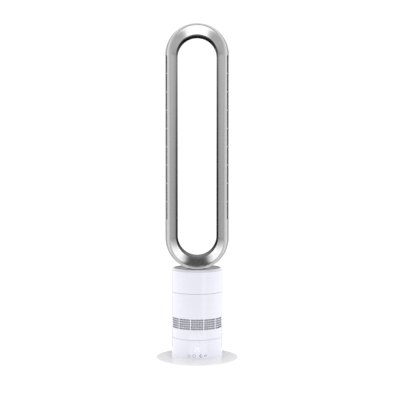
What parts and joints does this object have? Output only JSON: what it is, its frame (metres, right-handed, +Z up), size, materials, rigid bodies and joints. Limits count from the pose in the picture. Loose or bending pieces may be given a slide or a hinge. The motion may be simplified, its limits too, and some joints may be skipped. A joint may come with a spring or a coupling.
{
  "type": "bladeless fan",
  "caption": "Tall bladeless tower fan: stadium-shaped air loop with outlet slots on a round white body with an intake grille, swivelling on a thin round base plate.",
  "frame": {"origin": "on the floor, under the middle of the round base", "axes": "+Z up along the swivel axis, front (display and flared side of the loop) towards -Y, +X to the right seen from the front"},
  "size_m": [0.237, 0.237, 0.9664],
  "materials": {
    "foot_rubber": "matt moulded rubber",
    "plate_white": "pale grey-white gloss moulding",
    "body_white": "gloss white moulding with a cool tint",
    "collar_white": "satin pale grey-white moulding",
    "cap_grey": "dark grey gloss moulding",
    "loop_silver": "silver metallic lacquer, gloss",
    "throat_black": "gloss black",
    "inner_grey": "plain moulded plastic",
    "impeller_grey": "glass-filled nylon",
    "black_plastic": "moulded plastic",
    "screen_grey": "fine moulded screen",
    "display_black": "display block",
    "nylon": "natural nylon",
    "circuit_green": "circuit board",
    "steel": "zinc-plated steel",
    "cast_iron": "painted cast iron",
    "magnet": "sintered magnet",
    "copper": "enamelled copper wire",
    "aluminium": "turned aluminium"
  },
  "bodies": {
    "base": {"base_plate": "plate_white", "ballast_ring": "cast_iron", "base_cover": "inner_grey", "rubber_feet": "foot_rubber", "base_screws": "steel", "control_casing": "body_white", "casing_screws": "steel", "touch_board": "circuit_green", "touch_springs": "steel", "display_board": "circuit_green", "display_module": "display_black", "main_board": "circuit_green", "board_screws": "steel", "power_socket": "black_plastic", "turntable_plate": "inner_grey", "turntable_screws": "steel", "slide_ring": "nylon", "swivel_motor": "steel", "swivel_motor_screws": "steel"},
    "pinion": {"swivel_pinion": "nylon", "pinion_shaft": "steel"},
    "tower": {"swivel_deck": "inner_grey", "hub_clip": "steel", "swivel_sector": "nylon", "sector_screws": "steel", "deck_screws": "steel", "intake_casing": "body_white", "dust_screen": "screen_grey", "impeller_shroud": "inner_grey", "vibration_mounts": "foot_rubber", "stator_core": "steel", "stator_coils": "copper", "bearing_tube": "aluminium", "lower_bearing": "steel", "upper_bearing": "steel", "motor_screws": "steel", "diffuser": "inner_grey", "motor_board": "circuit_green", "tail_cone": "inner_grey", "joint_ring": "inner_grey", "upper_casing": "body_white", "neck_duct": "inner_grey", "neck_seal": "foot_rubber", "collar_ring": "collar_white", "top_cap": "cap_grey", "cap_screws": "steel", "loop_front_ring": "loop_silver", "loop_rear_shell": "loop_silver", "throat_liner": "throat_black", "slot_spacers": "black_plastic", "neck_bracket": "steel", "neck_screws": "steel"},
    "rotor": {"impeller": "impeller_grey", "motor_shaft": "steel", "rotor_bell": "steel", "rotor_magnet": "magnet"}
  },
  "joints": [
    {"name": "tower_swivel", "type": "hinge", "parent": "base", "child": "tower", "pos_m": [0, 0, 0.0655], "axis": [0, 0, 1], "range_deg": [-40, 40]},
    {"name": "rotor_spin", "type": "hinge", "parent": "tower", "child": "rotor", "pos_m": [0, 0, 0.156], "axis": [0, 0, 1], "continuous": true},
    {"name": "pinion_spin", "type": "hinge", "parent": "base", "child": "pinion", "pos_m": [0, 0.0375, 0.056], "axis": [0, 0, 1], "range_deg": [-162, 162]}
  ],
  "couplings": [
    {"joint": "pinion_spin", "follows": "tower_swivel", "ratio": -4}
  ]
}
